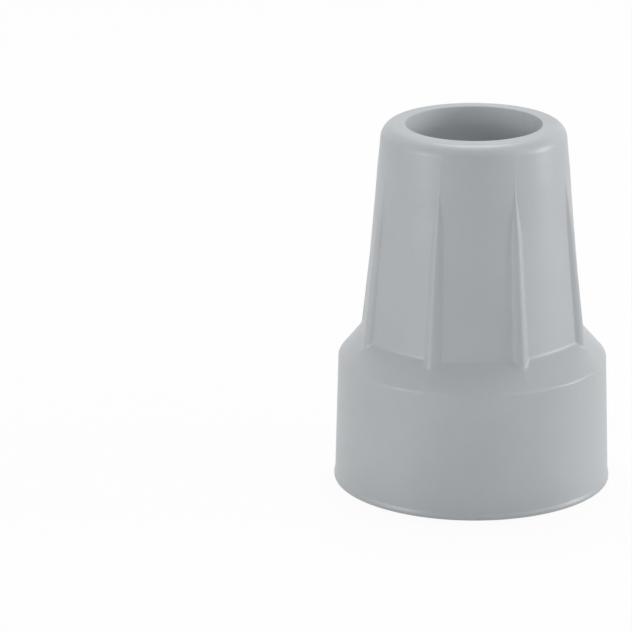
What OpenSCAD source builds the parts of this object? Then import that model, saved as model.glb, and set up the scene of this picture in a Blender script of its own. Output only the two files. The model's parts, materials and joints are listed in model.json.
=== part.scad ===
// Rubber tip for the end of a walking cane: one moulded piece with a wide
// round foot, a sloping shoulder and a tapered neck with low upright ribs.
// A blind bore takes the cane, and the underside has a tread of rings and
// grooves that step up towards the middle.
// Millimetres. +Z runs up the bore, and the origin is at the middle of the base.

/* [Cane bore] */
// Diameter of the cane that the bore takes
bore_d = 19; // [16:0.5:22]
// Thickness of rubber from the floor up to the bottom of the bore
sole_t = 15.8; // [10:0.2:22]
// Rounding of the bore's mouth
mouth_round = 0.3; // [0.1:0.1:0.8]

/* [Neck] */
// Height of the whole tip
total_h = 52.8; // [44:0.2:62]
// Wall of the neck at its top
lip_wall = 3.6; // [3.2:0.1:5]
// Rounding of the neck's outer top edge
lip_round = 1.8; // [0.6:0.1:2.2]
// Draft of the neck's side, in degrees
neck_draft = 5.8; // [3:0.1:8]
// Rounding where the neck rises from the shoulder
neck_fillet = 1; // [0.2:0.1:2]

/* [Foot] */
// Height of the foot's side, up to the shoulder
foot_h = 18.4; // [12:0.2:24]
// How far the foot stands out beyond the neck
foot_overhang = 2.8; // [2:0.1:6]
// Steepness of the shoulder above the horizontal, in degrees
shoulder_angle = 50; // [35:1:60]
// Rounding of the edge between the foot's side and the shoulder
shoulder_round = 0.4; // [0.1:0.1:1.5]
// Lean of the foot's side inwards, in degrees
foot_draft = 1.7; // [0.5:0.1:4]
// How far the thin bead round the lower edge stands proud
bead_w = 0.12; // [0.04:0.02:0.4]
// Height of that bead
bead_h = 0.9; // [0.4:0.1:2]

/* [Ribs] */
// Number of ribs
rib_count = 8; // [4:1:12]
// Height of a rib above the neck, at its foot
rib_foot_h = 0.9; // [0.7:0.05:1.3]
// Height of a rib above the neck, where its steeper end begins
rib_knee_h = 0.55; // [0.3:0.05:0.65]
// Length of the steeper end of a rib
rib_end_l = 6.4; // [4:0.2:12]
// Height of the plain round band above the ribs
band_h = 6.4; // [4:0.2:14]
// Slope of a rib's flanks, in degrees from the neck's surface
rib_flank = 30; // [25:1:45]
// Rounding of a rib's crest
rib_round = 0.4; // [0.1:0.1:0.8]

/* [Tread] */
// Width of the flat rim that the tip stands on
rim_w = 1.2; // [0.6:0.1:2.5]
// Diameter of the round pad in the middle
pad_d = 11.7; // [6:0.1:13]
// Width of the inner groove
inner_groove_w = 2.85; // [2:0.05:3.5]
// Width of the ring between the grooves
middle_ring_w = 3.6; // [2:0.1:4.4]
// Width of the outer groove
outer_groove_w = 3.2; // [2:0.1:4]
// Height of the outer ring's inner edge above the floor
outer_rise = 0.95; // [0.3:0.05:1.6]
// Height of the middle ring above the floor
ring_rise = 2.2; // [1.7:0.1:3]
// Height of the middle pad above the floor
pad_rise = 3.75; // [3:0.05:4.6]
// Depth of each groove above the ring outside it
groove_depth = 2.9; // [2.6:0.1:3.6]
// Rounding of the grooves' floors
groove_round = 0.8; // [0.1:0.1:0.9]

/* [Hidden] */
round_fn = 128;
arc_steps = 6;
overlap = 1;
rubber_grey = [0.62, 0.63, 0.64];

bore_r = bore_d / 2;
foot_top_r = neck_r(foot_h) + foot_overhang;

// Radius of the neck's surface between the ribs, and of the foot's side.
function neck_r(z) = bore_r + lip_wall + (total_h - z) * tan(neck_draft);
function foot_r(z) = foot_top_r + (foot_h - z) * tan(foot_draft);

// The point at height z on the line through p and q.
function at_height(p, q, z) = p + (q - p) * (z - p[1]) / (q[1] - p[1]);

// The arc that rounds the corner p, on the way from a to b.
function rounded(a, p, b, r) =
    let (u = (a - p) / norm(a - p))
    let (v = (b - p) / norm(b - p))
    let (half = acos(u * v) / 2)
    let (c = p + (u + v) / norm(u + v) * r / sin(half))
    let (first = p + u * r / tan(half) - c)
    let (last = p + v * r / tan(half) - c)
    let (from = atan2(first[1], first[0]))
    let (turn = (atan2(last[1], last[0]) - from + 540) % 360 - 180)
    [for (i = [0:arc_steps]) let (t = from + turn * i / arc_steps) c + r * [cos(t), sin(t)]];

// The outside, turned round the axis: bead, foot, shoulder, neck and lip.
module outside() {
    shoulder_run = foot_overhang / (1 - tan(shoulder_angle) * tan(neck_draft));
    side_low = [foot_r(bead_h), bead_h];
    foot_top = [foot_top_r, foot_h];
    neck_foot = foot_top + shoulder_run * [-1, tan(shoulder_angle)];
    lip = [neck_r(total_h), total_h];
    rotate_extrude($fn = round_fn)
        polygon(concat(
            [[0, 0], [foot_r(0) + bead_w, 0], [foot_r(0) + bead_w, bead_h / 2], side_low],
            rounded(side_low, foot_top, neck_foot, shoulder_round),
            rounded(foot_top, neck_foot, lip, neck_fillet),
            rounded(neck_foot, lip, [0, total_h], lip_round),
            [[0, total_h]]
        ));
}

// A bar with two sloping flanks. Its rounded crest runs from low to high, which
// are given as [radius, z].
module wedge(low, high) {
    depth = 4;
    run = high - low;
    flank_end = [-depth, depth / tan(rib_flank)];
    translate([low[0], 0, low[1]])
        rotate([0, atan2(run[0], run[1]), 0])
            linear_extrude(height = norm(run))
                polygon(concat(
                    [[-depth, -flank_end[1]]],
                    rounded([-depth, -flank_end[1]], [0, 0], flank_end, rib_round),
                    [flank_end]
                ));
}

// One rib: a long gentle crest that ends in a steeper one.
module rib() {
    foot_z = foot_h - overlap;
    end_z = total_h - band_h;
    knee_z = end_z - rib_end_l;
    foot_pt = [neck_r(foot_z) + rib_foot_h, foot_z];
    knee_pt = [neck_r(knee_z) + rib_knee_h, knee_z];
    end_pt = [neck_r(end_z), end_z];
    top_z = end_z + overlap;
    intersection() {
        wedge(foot_pt, at_height(foot_pt, knee_pt, top_z));
        wedge(at_height(end_pt, knee_pt, foot_z), at_height(end_pt, knee_pt, top_z));
    }
}

module ribs() {
    step = 360 / rib_count;
    for (i = [0:rib_count - 1])
        rotate([0, 0, (i + 0.5) * step]) rib();
}

// What is cut out for the cane: a blind bore with a rounded mouth.
module bore() {
    mouth = [bore_r, total_h];
    translate([0, 0, sole_t])
        cylinder(h = total_h - sole_t + overlap, r = bore_r, $fn = round_fn);
    rotate_extrude($fn = round_fn)
        polygon(concat(
            [[0, total_h - mouth_round]],
            rounded([bore_r, 0], mouth, [2 * bore_r, total_h], mouth_round),
            [[bore_r + mouth_round, total_h + overlap], [0, total_h + overlap]]
        ));
}

// The two corners of a groove's floor between the radii a and b, both rounded.
function groove_floor(a, b, z) =
    let (r = min(groove_round, 0.4 * (b - a)))
    concat(rounded([a, 0], [a, z], [b, z], r), rounded([a, z], [b, z], [b, 0], r));

// What is cut out under the foot: the stepped faces of the rings, and the grooves.
module tread() {
    pad_r = pad_d / 2;
    ring_in_r = pad_r + inner_groove_w;
    ring_out_r = ring_in_r + middle_ring_w;
    outer_in_r = ring_out_r + outer_groove_w;
    rim_in_r = foot_r(0) + bead_w - rim_w;
    rotate_extrude($fn = round_fn)
        polygon(concat(
            [[0, -overlap], [0, pad_rise], [pad_r, pad_rise]],
            groove_floor(pad_r, ring_in_r, ring_rise + groove_depth),
            [[ring_in_r, ring_rise], [ring_out_r, ring_rise]],
            groove_floor(ring_out_r, outer_in_r, outer_rise + groove_depth),
            [[outer_in_r, outer_rise], [rim_in_r, 0], [rim_in_r, -overlap]]
        ));
}

module cane_tip() {
    color(rubber_grey)
        difference() {
            union() {
                outside();
                ribs();
            }
            bore();
            tread();
        }
}

cane_tip();
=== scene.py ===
"""Looks for a rubber cane tip: the moulded tip itself, its rubber and a plain white stage."""

import json
import math

import bpy
import numpy as np
from mathutils import Matrix, Vector


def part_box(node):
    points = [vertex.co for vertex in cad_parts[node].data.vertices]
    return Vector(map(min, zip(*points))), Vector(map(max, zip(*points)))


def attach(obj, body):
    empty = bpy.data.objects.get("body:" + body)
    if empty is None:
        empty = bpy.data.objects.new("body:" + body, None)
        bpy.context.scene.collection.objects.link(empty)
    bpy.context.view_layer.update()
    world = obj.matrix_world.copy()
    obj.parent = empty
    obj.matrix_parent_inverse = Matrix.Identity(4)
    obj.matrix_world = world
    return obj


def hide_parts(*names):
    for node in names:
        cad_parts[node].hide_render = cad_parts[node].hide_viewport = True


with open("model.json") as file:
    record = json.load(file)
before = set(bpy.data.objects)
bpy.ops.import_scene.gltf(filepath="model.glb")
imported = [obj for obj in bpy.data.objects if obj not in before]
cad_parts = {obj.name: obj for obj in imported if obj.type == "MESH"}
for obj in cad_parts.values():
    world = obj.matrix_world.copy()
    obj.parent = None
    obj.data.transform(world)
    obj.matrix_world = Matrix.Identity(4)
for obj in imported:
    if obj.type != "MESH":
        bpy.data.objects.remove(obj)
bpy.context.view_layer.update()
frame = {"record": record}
TIP_LOW, TIP_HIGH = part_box("cane_tip")
BORE = next(mount for mount in frame["record"]["mounts"] if mount["name"] == "bore")
BORE_LENGTH = BORE["dims"]["length_mm"] / 1000
BASE_RADIUS = min(TIP_HIGH[0], TIP_HIGH[1], -TIP_LOW[0], -TIP_LOW[1])

bl_info = {
    "name": "Rubber Cane Tip",
    "version": (1, 0, 0),
    "blender": (4, 5, 0),
    "location": "View3D > Sidebar > Cane Tip",
    "description": "Builds a moulded rubber cane tip and the stage that it stands on",
    "category": "Object",
}

MM = 0.001
OUTSIDE, INSIDE, UNDERSIDE = range(3)

# How finely the mesh is divided
ARC_STEPS = 6
LIP_STEPS = 16
GAP_GROWTH = 1.9
COARSE_BORE_GAP = 3 * MM
RIB_COLUMNS = (0, 0.15, 0.28, 0.38, 0.48, 0.58, 0.7, 0.85, 0.96, 1)  # shares of half a rib's width
RIB_SIDE_COLUMNS = (0.03, 0.08, 0.16)  # millimetres out from a rib's edge
PANEL_COLUMNS = 6

# Small roundings of the profile
RIM_ROUND = 2 * MM
BASE_EDGE_ROUND = 0.06 * MM
BEAD_ROUND = 0.2 * MM
BEAD_TOP_ROUND = 0.4 * MM
FACE_EDGE_ROUND = 0.03 * MM
LEAD_ROUND = 8 * MM
BORE_CORNER_ROUND = 0.6 * MM
LIP_END_GAP = 0.02 * MM

# How the surfaces of the outside run into each other
NARROWEST_RIB = 0.3 * MM
KNEE_BLEND = 0.1 * MM
CREST_BLEND = 0.5  # share of the rib's height
LEAST_CREST_BLEND = 0.01 * MM
SHOULDER_EDGE_BLEND = 0.2 * MM
NECK_FOOT_BLEND = 0.15 * MM
MOUTH_MARGIN = 1.01  # the bore's finish starts just outside its widened mouth

# Rubber: noise scales are per metre
BROAD_CLOUDS = 90.0
FINE_CLOUDS = 700.0
BROAD_SHARE = 0.7
MOULD_WAVES = 260.0
GRAIN_SHARE = 0.6
ROUGHNESS_CHANGE = 0.12
MOULDED_BLOOM = 0.5
# The bore's bloom amount is both the rubber's bloom and painted light: it makes the bore's rubber almost
# wholly the paler colour, to lighten the shade inside the bore.
BORE_BLOOM_PAINTED_LIGHT = 2.2
TREAD_BLOOM = 0.8
BORE_GRAIN = 2
TREAD_GRAIN = 1.5

# Stage: the floor lies just under the base, so that the two never share a plane
FLOOR_Z = -0.02 * MM
FLOOR_PAINT = 0.82
FLOOR_WHITE = 0.93
LAMP_REACH = 0.8
# Each lamp: degrees round from the front, degrees up, width and height in metres
LAMPS = {
    "right": (90, 9, 0.16, 0.24),
    "left": (-82, 9, 0.16, 0.24),
    "front_right": (55, 9, 0.16, 0.24),
    "front_left": (-60, 9, 0.16, 0.24),
    "high": (60, 35, 0.3, 0.24),
    "top": (178, 73, 0.45, 0.3),
}


# Sizes and colours that can be changed


def length(name, description, default):
    return bpy.props.FloatProperty(
        name=name, description=description, default=default, unit="LENGTH", subtype="DISTANCE", precision=5
    )


def angle(name, description, degrees):
    return bpy.props.FloatProperty(
        name=name, description=description, default=math.radians(degrees), unit="ROTATION", subtype="ANGLE"
    )


def amount(name, description, default):
    return bpy.props.FloatProperty(name=name, description=description, default=default, min=0.0, precision=4)


def colour(name, description, default):
    return bpy.props.FloatVectorProperty(
        name=name, description=description, default=default, size=3, subtype="COLOR", min=0.0, max=1.0
    )


class TipShape(bpy.types.PropertyGroup):
    """Sizes of the moulded tip."""

    height: length("Height", "Height of the whole tip", TIP_HIGH[2] - TIP_LOW[2])
    base_radius: length("Base radius", "Radius of the base, with its bead", BASE_RADIUS)
    bead_width: length("Bead width", "How far the bead round the base stands proud", 0.12 * MM)
    bead_height: length("Bead height", "Height of the bead round the base", 0.9 * MM)
    foot_height: length("Foot height", "Height of the foot's side", 18.4 * MM)
    foot_draft: angle("Foot draft", "Lean of the foot's side inwards", 1.7)
    shoulder_slope: angle("Shoulder slope", "Steepness of the shoulder above the horizontal", 50)
    neck_draft: angle("Neck draft", "Lean of the neck's side inwards", 5.8)
    lip_wall: length("Lip wall", "Wall of the neck at its top", 3.6 * MM)
    lip_round: length("Lip rounding", "Rounding of the neck's top edge", 2.2 * MM)
    lip_break: angle("Lip break", "Angle left between the lip's rounding and the top face", 20)
    bore_radius: length("Bore radius", "Radius of the bore", BORE["dims"]["r_mm"] * MM)
    bore_length: length("Bore length", "Length of the bore's straight wall", BORE_LENGTH)
    mouth_lead: length("Mouth lead", "How far the bore widens at its mouth", 0.3 * MM)
    mouth_depth: length("Mouth depth", "How far down the widening goes", 2.6 * MM)
    mouth_round: length("Mouth rounding", "Rounding of the bore's top edge", 0.08 * MM)
    panel_radius: length("Panel radius", "Radius to which the panels flatten out at the shoulder", 30 * MM)
    rib_count: bpy.props.IntProperty(
        name="Ribs", description="Number of ribs round the neck", default=8, min=3
    )
    rib_foot: length("Rib foot", "Height of a rib above the neck at the shoulder", 0.9 * MM)
    rib_knee: length("Rib knee", "Height of a rib above the neck where its steeper end begins", 0.55 * MM)
    rib_end: length("Rib end", "Length of a rib's steeper end", 6.4 * MM)
    band: length("Plain band", "Height of the plain round band above the ribs", 6.4 * MM)
    rib_flank: angle("Rib flank", "Slope of a rib's flanks from the neck's surface", 45)
    rib_spread: bpy.props.FloatProperty(
        name="Rib spread", description="Width of a rib for its height", default=3.05
    )
    rib_crown: length("Rib crown", "Radius of the gentle curve across a rib's crest", 1.9 * MM)
    rib_fillet: length("Rib fillet", "Fillet along the edges of a rib", 0.06 * MM)


class TipTread(bpy.types.PropertyGroup):
    """Sizes of the rings and grooves under the tip."""

    pad_radius: length("Pad radius", "Radius of the pad in the middle", 5.85 * MM)
    pad_rise: length("Pad rise", "Height of the pad above the floor", 3.75 * MM)
    ring_inner: length("Ring inner radius", "Inner radius of the middle ring", 8.7 * MM)
    ring_outer: length("Ring outer radius", "Outer radius of the middle ring", 12.3 * MM)
    ring_rise: length("Ring rise", "Height of the middle ring above the floor", 2.2 * MM)
    tread_inner: length("Outer ring's inner radius", "Inner radius of the outer ring", 15.5 * MM)
    tread_rise: length(
        "Outer ring's rise", "Height of the outer ring's inner edge above the floor", 0.95 * MM
    )
    rim_width: length("Rim width", "Width of the flat rim on the floor", 1.2 * MM)
    groove_depth: length("Groove depth", "Depth of a groove above the ring outside it", 2.9 * MM)
    groove_round: length("Groove rounding", "Rounding of the grooves' floors", 0.8 * MM)
    edge_round: length("Edge rounding", "Rounding of the rings' edges", 0.15 * MM)


class RubberFinish(bpy.types.PropertyGroup):
    """Colours and surface of the rubber."""

    tone: colour("Rubber", "Colour of the rubber", (0.365, 0.387, 0.400))
    # The paler colour is the rubber's own bloom, and in the bore it is also laid on thickly as painted
    # light.
    bloom_and_painted_light: colour("Bloom", "Paler colour of the fine bloom on the rubber", (0.52, 0.545, 0.56))
    roughness: amount("Roughness", "Roughness of the moulded outside", 0.42)
    inner_roughness: amount("Inner roughness", "Roughness inside the bore and under the tip", 0.6)
    gloss: amount("Gloss", "How much light the rubber mirrors, where 0.5 is plain", 0.75)
    grain: length("Grain", "Size of the fine grain left by the mould", 0.22 * MM)
    grain_depth: length("Grain depth", "Depth of the fine grain", 0.004 * MM)


class StageSettings(bpy.types.PropertyGroup):
    """Camera, lamps and floor."""

    lens: bpy.props.FloatProperty(
        name="Lens", description="Focal length on a 36 mm sensor", default=212.8, unit="CAMERA"
    )
    camera_at: bpy.props.FloatVectorProperty(
        name="Camera place", description="Where the camera stands", default=(-0.0223, -0.5150, 0.1872),
        size=3, unit="LENGTH", subtype="TRANSLATION"
    )
    camera_down: angle("Camera pitch", "How far the camera looks down", 17.568)
    camera_turn: angle("Camera turn", "How far the camera turns left of the Y axis", 0.035)
    camera_roll: angle("Camera roll", "How far the camera leans to one side", 0.31)
    right_power: amount("Right lamp", "Power of the low lamp on the right, in watts", 2.1)
    left_power: amount("Left lamp", "Power of the low lamp on the left, in watts", 0.35)
    front_right_power: amount(
        "Front right lamp", "Power of the low lamp in front on the right, in watts", 0.45
    )
    front_left_power: amount(
        "Front left lamp", "Power of the low lamp in front on the left, in watts", 1.45
    )
    high_power: amount("High lamp", "Power of the high lamp in front on the right, in watts", 0.45)
    top_power: amount("Top lamp", "Power of the lamp over the back of the tip, in watts", 3.4)
    ambient: amount("Ambient", "Strength of the even light from all round", 0.42)
    floor_size: length("Floor", "Width of the floor", 6.0)


# Profile of the tip, in [radius, height]


def rounded(before, corner, after, radius, steps):
    """Points of the arc that rounds a corner of the profile."""
    before, corner, after = (np.array(p, dtype=float) for p in (before, corner, after))
    u = (before - corner) / np.linalg.norm(before - corner)
    v = (after - corner) / np.linalg.norm(after - corner)
    half = math.acos(float(np.clip(u @ v, -1, 1))) / 2
    centre = corner + (u + v) / np.linalg.norm(u + v) * radius / math.sin(half)
    first = corner + u * radius / math.tan(half) - centre
    last = corner + v * radius / math.tan(half) - centre
    start = math.atan2(first[1], first[0])
    turn = (math.atan2(last[1], last[0]) - start + 3 * math.pi) % (2 * math.pi) - math.pi
    return [centre + radius * np.array((math.cos(start + turn * t), math.sin(start + turn * t)))
            for t in np.linspace(0, 1, steps + 1)]


def graded(span, fine, coarse):
    """Fractions along a stretch: close together at both ends and further apart in the middle."""
    inner, gap, at = [], fine, fine
    while at < span / 2:
        inner.append(at / span)
        gap = min(gap * GAP_GROWTH, coarse)
        at += gap
    return sorted(set([0.0, 0.5, 1.0] + inner + [1 - t for t in inner]))


def smooth_profile(corners, fine=0.08 * MM, coarse=1.6 * MM):
    """A dense profile through corners of (radius, height, rounding), straight between their arcs."""
    arcs = [[np.array(corners[0][:2], dtype=float)]]
    for before, here, after in zip(corners, corners[1:], corners[2:]):
        arcs.append(rounded(before[:2], here[:2], after[:2], here[2], ARC_STEPS))
    arcs.append([np.array(corners[-1][:2], dtype=float)])
    points = []
    for arc, following in zip(arcs, arcs[1:]):
        points.extend(arc)
        start, end = arc[-1], following[0]
        for t in graded(float(np.linalg.norm(end - start)), fine, coarse)[1:-1]:
            points.append(start + (end - start) * t)
    points.extend(arcs[-1])
    return points


def underside_profile(shape, tread):
    """From the middle of the pad out to the bead round the base."""
    edge, floor_round = tread.edge_round, tread.groove_round
    inner_floor = tread.ring_rise + tread.groove_depth
    outer_floor = tread.tread_rise + tread.groove_depth
    rim_inner = shape.base_radius - tread.rim_width
    bead_side = foot_side(shape, shape.bead_height)
    return smooth_profile([
        (0, tread.pad_rise),
        (tread.pad_radius, tread.pad_rise, edge),
        (tread.pad_radius, inner_floor, floor_round),
        (tread.ring_inner, inner_floor, floor_round),
        (tread.ring_inner, tread.ring_rise, edge),
        (tread.ring_outer, tread.ring_rise, edge),
        (tread.ring_outer, outer_floor, floor_round),
        (tread.tread_inner, outer_floor, floor_round),
        (tread.tread_inner, tread.tread_rise, edge),
        (rim_inner, 0, RIM_ROUND),
        (shape.base_radius, 0, BASE_EDGE_ROUND),
        (shape.base_radius, shape.bead_height / 2, BEAD_ROUND),
        (bead_side, shape.bead_height, BEAD_TOP_ROUND),
        (foot_side(shape, shape.bead_height * 2), shape.bead_height * 2),
    ])


def mouth_profile(shape):
    """From the top of the neck's side over the lip and down the bore to its middle."""
    side_low = shape.height - 2 * shape.lip_round
    top, wall = shape.height, neck_side(shape, shape.height)
    drop = shape.lip_round * (1 - math.cos(shape.lip_break))
    side = (neck_side(shape, side_low), side_low)
    lip = rounded(side, (wall, top + drop), (0, top + drop), shape.lip_round, LIP_STEPS)
    lip = [p for p in lip if p[1] < top - LIP_END_GAP]
    flat_from = wall - shape.lip_round * (1 - math.sin(shape.lip_break))
    bore_floor = top - shape.mouth_lead - shape.bore_length
    face = smooth_profile([
        (lip[-1][0], lip[-1][1]),
        (flat_from, top, FACE_EDGE_ROUND),
        (shape.bore_radius + shape.mouth_lead, top, shape.mouth_round),
        (shape.bore_radius, top - shape.mouth_depth, LEAD_ROUND),
        (shape.bore_radius, bore_floor, BORE_CORNER_ROUND),
        (0, bore_floor),
    ], coarse=COARSE_BORE_GAP)
    return lip + face[1:]


# The outside of the foot and neck, as a radius for each angle and height


def neck_side(shape, z):
    return shape.bore_radius + shape.lip_wall + (shape.height - z) * np.tan(shape.neck_draft)


def foot_side(shape, z):
    return shape.base_radius - shape.bead_width - z * np.tan(shape.foot_draft)


def blend_out(a, b, reach):
    """The larger of two radii, with a fillet where they meet."""
    near = np.maximum(reach - np.abs(a - b), 0) / reach
    return np.maximum(a, b) + near * near * reach / 4


def blend_in(a, b, reach):
    """The smaller of two radii, with a rounding where they meet."""
    return -blend_out(-a, -b, reach)


def rib_height(shape, z):
    """Height of a rib's crest. It falls slowly from the shoulder up to the knee, and then runs out."""
    ribs_top = shape.height - shape.band
    knee_z = ribs_top - shape.rib_end
    gentle = shape.rib_knee + (shape.rib_foot - shape.rib_knee) * (knee_z - z) / (knee_z - shape.foot_height)
    steep = shape.rib_knee * (ribs_top - z) / shape.rib_end
    return np.maximum(blend_in(gentle, steep, KNEE_BLEND), 0)


def rib_edge(shape, z):
    """Distance from a rib's middle to its edge, where its flank meets the neck."""
    return np.maximum(rib_height(shape, z) * shape.rib_spread, NARROWEST_RIB) / 2


def panel_surface(shape, from_rib, z):
    """The neck between the ribs: round under the lip, with flatter panels towards the shoulder."""
    turn = math.pi / shape.rib_count - from_rib
    neck = neck_side(shape, z)
    corner = math.pi / shape.rib_count - rib_edge(shape, z) / neck
    ribs_top = shape.height - shape.band
    reach = np.clip((ribs_top - z) / (ribs_top - shape.foot_height), 0, 1)
    round_there = neck_side(shape, ribs_top)
    curve = np.maximum(neck, round_there + (shape.panel_radius - round_there) * reach)
    centre = neck * np.cos(corner) - np.sqrt(curve ** 2 - (neck * np.sin(corner)) ** 2)
    return centre * np.cos(turn) + np.sqrt(curve ** 2 - (centre * np.sin(turn)) ** 2)


def rib_surface(shape, from_rib, z):
    """A rib's gently curved crest and its two sloping flanks."""
    neck, height, edge = neck_side(shape, z), rib_height(shape, z), rib_edge(shape, z)
    across = neck * from_rib
    crest = neck + height - across ** 2 / (2 * shape.rib_crown)
    flank = neck + (edge - across) * math.tan(shape.rib_flank)
    return blend_in(crest, flank, np.maximum(height * CREST_BLEND, LEAST_CREST_BLEND))


def foot_surface(shape, from_rib, z):
    """The foot's side, and the shoulder that slopes up from it to the panels."""
    low = shape.foot_height
    top = foot_side(shape, low)
    rise = (top - neck_side(shape, low)) / (1 / math.tan(shape.shoulder_slope) - math.tan(shape.neck_draft))
    inner = panel_surface(shape, from_rib, low + rise)
    return blend_in(foot_side(shape, z), top + (inner - top) * (z - low) / rise, SHOULDER_EDGE_BLEND)


def outside_radius(shape, angles, z):
    """Radius of the outside at each height (rows) and angle (columns)."""
    step = 2 * math.pi / shape.rib_count
    from_rib = np.abs(angles % step - step / 2)
    z = z[:, None]
    neck = blend_out(panel_surface(shape, from_rib, z), rib_surface(shape, from_rib, z), shape.rib_fillet)
    return blend_out(neck, foot_surface(shape, from_rib, z), NECK_FOOT_BLEND)


def outside_heights(shape):
    """Heights of the rows up the outside, closest at the shoulder."""
    low, top = 2 * shape.bead_height, shape.height - 2 * shape.lip_round
    corner = shape.foot_height
    # Each stretch: from, to, and the gap between its rows
    stretches = (
        (low, corner - 1 * MM, 2.5 * MM),
        (corner - 1 * MM, corner - 0.4 * MM, 0.2 * MM),
        (corner - 0.4 * MM, corner + 0.4 * MM, 0.08 * MM),
        (corner + 0.4 * MM, corner + 6 * MM, 0.25 * MM),
        (corner + 6 * MM, shape.height - shape.band + 2 * MM, 0.8 * MM),
        (shape.height - shape.band + 2 * MM, top, 0.4 * MM),
    )
    rows = []
    for start, end, gap in stretches:
        count = max(1, round((end - start) / gap))
        rows.extend(np.linspace(start, end, count, endpoint=False))
    return np.array(rows[1:])


def column_angles(shape, z):
    """Angles of the columns at each height. They follow the edges of the ribs."""
    step = 2 * math.pi / shape.rib_count
    neck = neck_side(shape, z)[:, None]
    edge = rib_edge(shape, z)[:, None]
    rib = edge * np.array(RIB_COLUMNS)
    outer = edge + np.array(RIB_SIDE_COLUMNS) * MM
    middle = neck * step / 2
    panel = outer[:, -1:] + (middle - outer[:, -1:]) * np.linspace(0, 1, PANEL_COLUMNS + 1)[1:]
    from_rib = np.concatenate([rib, outer, panel], axis=1) / neck
    half = step / 2 - from_rib[:, ::-1]
    sector = np.concatenate([half[:, 1:], (step - half)[:, ::-1][:, 1:]], axis=1)
    return np.concatenate([sector + i * step for i in range(shape.rib_count)], axis=1)


# The mesh


def turned(profile, angles):
    """Rows of a profile turned round the axis."""
    profile = np.array(profile)
    radius = profile[:, 0][:, None]
    height = np.broadcast_to(profile[:, 1][:, None], (len(profile), len(angles)))
    return np.stack([radius * np.sin(angles), -radius * np.cos(angles), height], axis=2)


def skin(rows, parts):
    """Vertices, faces and a part number for each face of the closed skin through the rows. The first and
    last rows are single points on the axis."""
    columns = rows.shape[1]
    points = [rows[0, 0]] + list(rows[1:-1].reshape(-1, 3)) + [rows[-1, 0]]
    last = len(points) - 1
    faces, face_parts = [], []

    def at(row, column):
        return 1 + (row - 1) * columns + column % columns

    for row in range(len(rows) - 1):
        for column in range(columns):
            if row == 0:
                face = (0, at(1, column + 1), at(1, column))
            elif row == len(rows) - 2:
                face = (at(row, column), at(row, column + 1), last)
            else:
                face = (at(row, column), at(row, column + 1), at(row + 1, column + 1), at(row + 1, column))
            faces.append(face)
            face_parts.append(parts[row])
    return points, faces, face_parts


def tip_mesh(shape, tread):
    """The whole moulded tip as one closed mesh."""
    under = underside_profile(shape, tread)
    mouth = mouth_profile(shape)
    heights = outside_heights(shape)
    on_neck = np.maximum(heights, shape.foot_height)
    angles = column_angles(shape, on_neck)
    radius = outside_radius(shape, angles, heights)
    side = np.stack([
        radius * np.sin(angles), -radius * np.cos(angles), np.broadcast_to(heights[:, None], radius.shape)
    ], axis=2)
    rows = np.concatenate([turned(under, angles[0]), side, turned(mouth, angles[-1])])
    parts = []
    for row in rows[:, 0]:
        reach = math.hypot(row[0], row[1])
        if row[2] > shape.foot_height / 2 and reach < shape.bore_radius + MOUTH_MARGIN * shape.mouth_lead:
            parts.append(INSIDE)
        elif row[2] < shape.foot_height / 2 and reach < shape.base_radius - tread.rim_width / 2:
            parts.append(UNDERSIDE)
        else:
            parts.append(OUTSIDE)
    points, faces, face_parts = skin(rows, parts)
    mesh = bpy.data.meshes.new("moulded_tip")
    mesh.from_pydata([tuple(p) for p in points], [], faces)
    mesh.polygons.foreach_set("material_index", face_parts)
    mesh.polygons.foreach_set("use_smooth", [True] * len(faces))
    mesh.update()
    mesh.validate()
    return mesh


# Rubber


def group_tree(name, inputs, outputs):
    """A new shader node group with named inputs as (name, kind, default) and outputs as (name, kind)."""
    tree = bpy.data.node_groups.new(name, "ShaderNodeTree")
    for label, kind, default in inputs:
        socket = tree.interface.new_socket(label, in_out="INPUT", socket_type=kind)
        socket.default_value = default
    for label, kind in outputs:
        tree.interface.new_socket(label, in_out="OUTPUT", socket_type=kind)
    return tree, tree.nodes.new("NodeGroupInput"), tree.nodes.new("NodeGroupOutput")


def maths(tree, operation, a, b=None, clamp=False):
    """A Math node. Each value is a socket or a number."""
    node = tree.nodes.new("ShaderNodeMath")
    node.operation = operation
    node.use_clamp = clamp
    for socket, value in zip(node.inputs, (a, b)):
        if value is None:
            continue
        if isinstance(value, bpy.types.NodeSocket):
            tree.links.new(value, socket)
        else:
            socket.default_value = value
    return node.outputs[0]


def noise(tree, place, scale, detail, rough):
    """A Noise texture's value over the surface."""
    node = tree.nodes.new("ShaderNodeTexNoise")
    tree.links.new(place, node.inputs["Vector"])
    if isinstance(scale, bpy.types.NodeSocket):
        tree.links.new(scale, node.inputs["Scale"])
    else:
        node.inputs["Scale"].default_value = scale
    node.inputs["Detail"].default_value = detail
    node.inputs["Roughness"].default_value = rough
    return node.outputs["Fac"]


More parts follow.
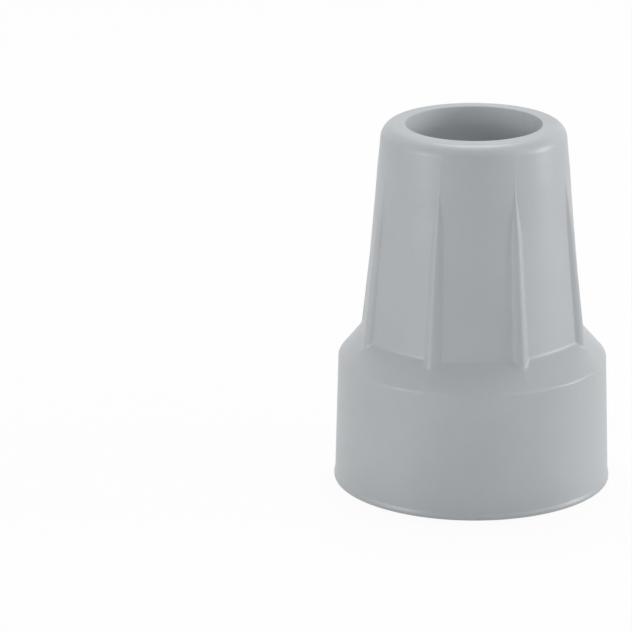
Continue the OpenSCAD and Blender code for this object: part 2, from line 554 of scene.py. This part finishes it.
def rubber_tone_group():
    """Slow cloudy change between the rubber's colour and its paler bloom. A large amount makes the rubber
    almost wholly the paler colour, which paints light into the bore.
    """
    name = "Rubber tone"
    if name in bpy.data.node_groups:
        return bpy.data.node_groups[name]
    tree, start, end = group_tree(
        name,
        (
            ("Rubber", "NodeSocketColor", (0.4, 0.4, 0.4, 1)),
            ("Bloom", "NodeSocketColor", (0.5, 0.5, 0.5, 1)),
            ("Amount", "NodeSocketFloat", 0.3),
        ),
        (("Color", "NodeSocketColor"), ("Cloud", "NodeSocketFloat")),
    )
    place = tree.nodes.new("ShaderNodeTexCoord").outputs["Object"]
    broad = noise(tree, place, BROAD_CLOUDS, detail=2.0, rough=0.5)
    fine = noise(tree, place, FINE_CLOUDS, detail=3.0, rough=0.6)
    broad_part = maths(tree, "MULTIPLY", broad, BROAD_SHARE)
    cloud = maths(tree, "ADD", broad_part, maths(tree, "MULTIPLY", fine, 1 - BROAD_SHARE))
    mix = tree.nodes.new("ShaderNodeMix")
    mix.data_type = "RGBA"
    tree.links.new(maths(tree, "MULTIPLY", cloud, start.outputs["Amount"], clamp=True), mix.inputs["Factor"])
    tree.links.new(start.outputs["Rubber"], mix.inputs["A"])
    tree.links.new(start.outputs["Bloom"], mix.inputs["B"])
    tree.links.new(mix.outputs["Result"], end.inputs["Color"])
    tree.links.new(cloud, end.inputs["Cloud"])
    return tree


def mould_grain_group():
    """The fine grain that the mould leaves, as a height and a change of roughness."""
    name = "Mould grain"
    if name in bpy.data.node_groups:
        return bpy.data.node_groups[name]
    tree, start, end = group_tree(
        name,
        (("Scale", "NodeSocketFloat", 4000.0), ("Roughness", "NodeSocketFloat", 0.5)),
        (("Height", "NodeSocketFloat"), ("Roughness", "NodeSocketFloat")),
    )
    place = tree.nodes.new("ShaderNodeTexCoord").outputs["Object"]
    grain = noise(tree, place, start.outputs["Scale"], detail=3.0, rough=0.6)
    waves = noise(tree, place, MOULD_WAVES, detail=1.0, rough=0.5)
    grain_part = maths(tree, "MULTIPLY", grain, GRAIN_SHARE)
    height = maths(tree, "ADD", grain_part, maths(tree, "MULTIPLY", waves, 1 - GRAIN_SHARE))
    change = maths(tree, "MULTIPLY", maths(tree, "SUBTRACT", grain, 0.5), ROUGHNESS_CHANGE)
    tree.links.new(height, end.inputs["Height"])
    tree.links.new(maths(tree, "ADD", start.outputs["Roughness"], change), end.inputs["Roughness"])
    return tree


def rubber(name, finish, roughness, bloom_and_painted_light, grain_depth):
    """A rubber of one finish. Its bloom amount is the rubber's own cloudy bloom, and in the bore it is also
    painted light that lightens the bore's shade.
    """
    material = bpy.data.materials.new(name)
    material.use_nodes = True
    tree = material.node_tree
    tree.nodes.clear()
    output = tree.nodes.new("ShaderNodeOutputMaterial")
    shader = tree.nodes.new("ShaderNodeBsdfPrincipled")
    shader.inputs["Specular IOR Level"].default_value = finish.gloss
    tone = tree.nodes.new("ShaderNodeGroup")
    tone.node_tree = rubber_tone_group()
    tone.inputs["Rubber"].default_value = (*finish.tone, 1)
    tone.inputs["Bloom"].default_value = (*finish.bloom_and_painted_light, 1)
    tone.inputs["Amount"].default_value = bloom_and_painted_light
    grain = tree.nodes.new("ShaderNodeGroup")
    grain.node_tree = mould_grain_group()
    grain.inputs["Scale"].default_value = 1 / finish.grain
    grain.inputs["Roughness"].default_value = roughness
    bump = tree.nodes.new("ShaderNodeBump")
    bump.inputs["Distance"].default_value = grain_depth
    tree.links.new(tone.outputs["Color"], shader.inputs["Base Color"])
    tree.links.new(grain.outputs["Roughness"], shader.inputs["Roughness"])
    tree.links.new(grain.outputs["Height"], bump.inputs["Height"])
    tree.links.new(bump.outputs["Normal"], shader.inputs["Normal"])
    tree.links.new(shader.outputs["BSDF"], output.inputs["Surface"])
    return material


# Stage


def white_to_the_eye(tree, surface, part):
    """Mixes a plain white into a surface or world for camera, glossy and transmission rays only."""
    path = tree.nodes.new("ShaderNodeLightPath")
    seen = maths(tree, "MAXIMUM", path.outputs["Is Camera Ray"], path.outputs["Is Glossy Ray"])
    seen = maths(tree, "MAXIMUM", seen, path.outputs["Is Transmission Ray"])
    white = tree.nodes.new("ShaderNodeEmission")
    white.inputs["Color"].default_value = (1, 1, 1, 1)
    white.inputs["Strength"].default_value = 1.0
    mix = tree.nodes.new("ShaderNodeMixShader")
    tree.links.new(maths(tree, "MULTIPLY", seen, part), mix.inputs[0])
    tree.links.new(surface, mix.inputs[1])
    tree.links.new(white.outputs[0], mix.inputs[2])
    return mix.outputs[0]


def floor_material():
    """A white floor that stays white to the eye and keeps a faint shadow."""
    material = bpy.data.materials.new("white_floor")
    material.use_nodes = True
    tree = material.node_tree
    tree.nodes.clear()
    output = tree.nodes.new("ShaderNodeOutputMaterial")
    paint = tree.nodes.new("ShaderNodeBsdfDiffuse")
    paint.inputs["Color"].default_value = (FLOOR_PAINT, FLOOR_PAINT, FLOOR_PAINT, 1)
    tree.links.new(white_to_the_eye(tree, paint.outputs[0], FLOOR_WHITE), output.inputs["Surface"])
    return material


def build_world(settings):
    """An even white room."""
    world = bpy.data.worlds.new("white_room")
    world.use_nodes = True
    tree = world.node_tree
    tree.nodes.clear()
    output = tree.nodes.new("ShaderNodeOutputWorld")
    even = tree.nodes.new("ShaderNodeBackground")
    even.inputs["Color"].default_value = (1, 1, 1, 1)
    even.inputs["Strength"].default_value = settings.ambient
    tree.links.new(white_to_the_eye(tree, even.outputs[0], 1.0), output.inputs["Surface"])
    bpy.context.scene.world = world


def add_lamp(name, around, up, width, tall, power):
    """A soft rectangular lamp that faces the tip. Its place is in degrees around from the front and up."""
    lamp = bpy.data.lights.new(name, "AREA")
    lamp.shape = "RECTANGLE"
    lamp.size = width
    lamp.size_y = tall
    lamp.energy = power
    holder = bpy.data.objects.new(name, lamp)
    around, up = math.radians(around), math.radians(up)
    away = Vector((math.sin(around) * math.cos(up), -math.cos(around) * math.cos(up), math.sin(up)))
    holder.location = Vector((0, 0, TIP_HIGH[2] / 2)) + LAMP_REACH * away
    holder.rotation_euler = (-away).to_track_quat("-Z", "Y").to_euler()
    bpy.context.collection.objects.link(holder)


def add_camera(settings):
    """The camera, looking along +Y and down."""
    camera = bpy.data.cameras.new("camera")
    camera.sensor_width = 36.0
    camera.lens = settings.lens
    camera.clip_start = 0.01
    holder = bpy.data.objects.new("camera", camera)
    turn = Matrix.Rotation(settings.camera_turn, 4, "Z")
    tilt = Matrix.Rotation(math.pi / 2 - settings.camera_down, 4, "X")
    lean = Matrix.Rotation(-settings.camera_roll, 4, "Z")
    holder.matrix_world = Matrix.Translation(settings.camera_at) @ turn @ tilt @ lean
    bpy.context.collection.objects.link(holder)
    bpy.context.scene.camera = holder


# Operators and panel


class CANETIP_OT_mould_tip(bpy.types.Operator):
    """Mould the rubber tip in one piece"""

    bl_idname = "cane_tip.mould_tip"
    bl_label = "Mould Tip"

    def execute(self, context):
        scene = context.scene
        finish = scene.tip_finish
        mesh = tip_mesh(scene.tip_shape, scene.tip_tread)
        # The bore's rubber is a paler copy of the rubber: its large bloom amount is painted light that
        # lightens the shade in the bore.
        for name, roughness, bloom_and_painted_light, grain in (
            ("moulded_rubber", finish.roughness, MOULDED_BLOOM, 1),
            ("bore_rubber", finish.inner_roughness, BORE_BLOOM_PAINTED_LIGHT, BORE_GRAIN),
            ("tread_rubber", finish.inner_roughness, TREAD_BLOOM, TREAD_GRAIN),
        ):
            mesh.materials.append(rubber(name, finish, roughness, bloom_and_painted_light, grain * finish.grain_depth))
        tip = bpy.data.objects.new("moulded_tip", mesh)
        context.collection.objects.link(tip)
        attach(tip, "root")
        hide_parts("cane_tip")
        return {"FINISHED"}


class CANETIP_OT_set_stage(bpy.types.Operator):
    """Set the floor, the lamps and the camera"""

    bl_idname = "cane_tip.set_stage"
    bl_label = "Set Stage"

    def execute(self, context):
        settings = context.scene.tip_stage
        half = settings.floor_size / 2
        mesh = bpy.data.meshes.new("floor")
        corners = [(x * half, y * half, FLOOR_Z) for x, y in ((-1, -1), (1, -1), (1, 1), (-1, 1))]
        mesh.from_pydata(corners, [], [(0, 1, 2, 3)])
        mesh.materials.append(floor_material())
        floor = bpy.data.objects.new("floor", mesh)
        context.collection.objects.link(floor)
        build_world(settings)
        for name, place_and_size in LAMPS.items():
            add_lamp(f"{name}_lamp", *place_and_size, getattr(settings, f"{name}_power"))
        add_camera(settings)
        context.scene.view_settings.view_transform = "Standard"
        return {"FINISHED"}


class CANETIP_PT_panel(bpy.types.Panel):
    """Lists the steps that build the tip"""

    bl_idname = "CANETIP_PT_panel"
    bl_label = "Cane Tip"
    bl_space_type = "VIEW_3D"
    bl_region_type = "UI"
    bl_category = "Cane Tip"

    def draw(self, context):
        for step in STEPS:
            self.layout.operator(step.bl_idname)


GROUPS = {
    "tip_shape": TipShape,
    "tip_tread": TipTread,
    "tip_finish": RubberFinish,
    "tip_stage": StageSettings,
}
STEPS = (CANETIP_OT_mould_tip, CANETIP_OT_set_stage)
CLASSES = (*GROUPS.values(), *STEPS, CANETIP_PT_panel)


def register():
    for item in CLASSES:
        bpy.utils.register_class(item)
    for name, group in GROUPS.items():
        setattr(bpy.types.Scene, name, bpy.props.PointerProperty(type=group))


def unregister():
    for name in GROUPS:
        delattr(bpy.types.Scene, name)
    for item in reversed(CLASSES):
        bpy.utils.unregister_class(item)


def main():
    register()
    bpy.ops.cane_tip.mould_tip()
    bpy.ops.cane_tip.set_stage()


if __name__ == "__main__":
    main()
